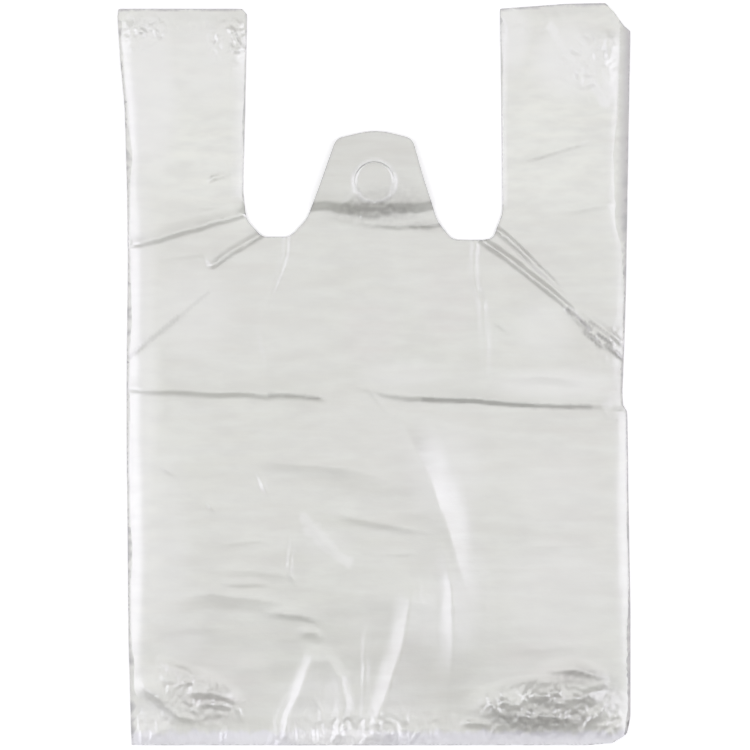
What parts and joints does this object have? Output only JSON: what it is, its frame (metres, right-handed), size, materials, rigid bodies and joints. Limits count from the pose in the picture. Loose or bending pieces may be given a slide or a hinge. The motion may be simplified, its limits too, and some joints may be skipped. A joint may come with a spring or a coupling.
{
  "type": "plastic carrier bag",
  "caption": "Thin white film carrier bag lying flat and empty, with folded side gussets, a sealed foot, loop handles and a punched hanging tab in the mouth.",
  "frame": {"origin": "on the floor, under the middle of the bag's bounding box", "axes": "+Y runs up the bag from the foot seal to the handles, +X runs across it to the right seen from its front panel, +Z points out of the front panel"},
  "size_m": [0.3097, 0.449, 0.0073],
  "materials": {
    "film": "satin, slightly translucent film"
  },
  "bodies": {
    "root": {"bag": "film"}
  },
  "joints": []
}
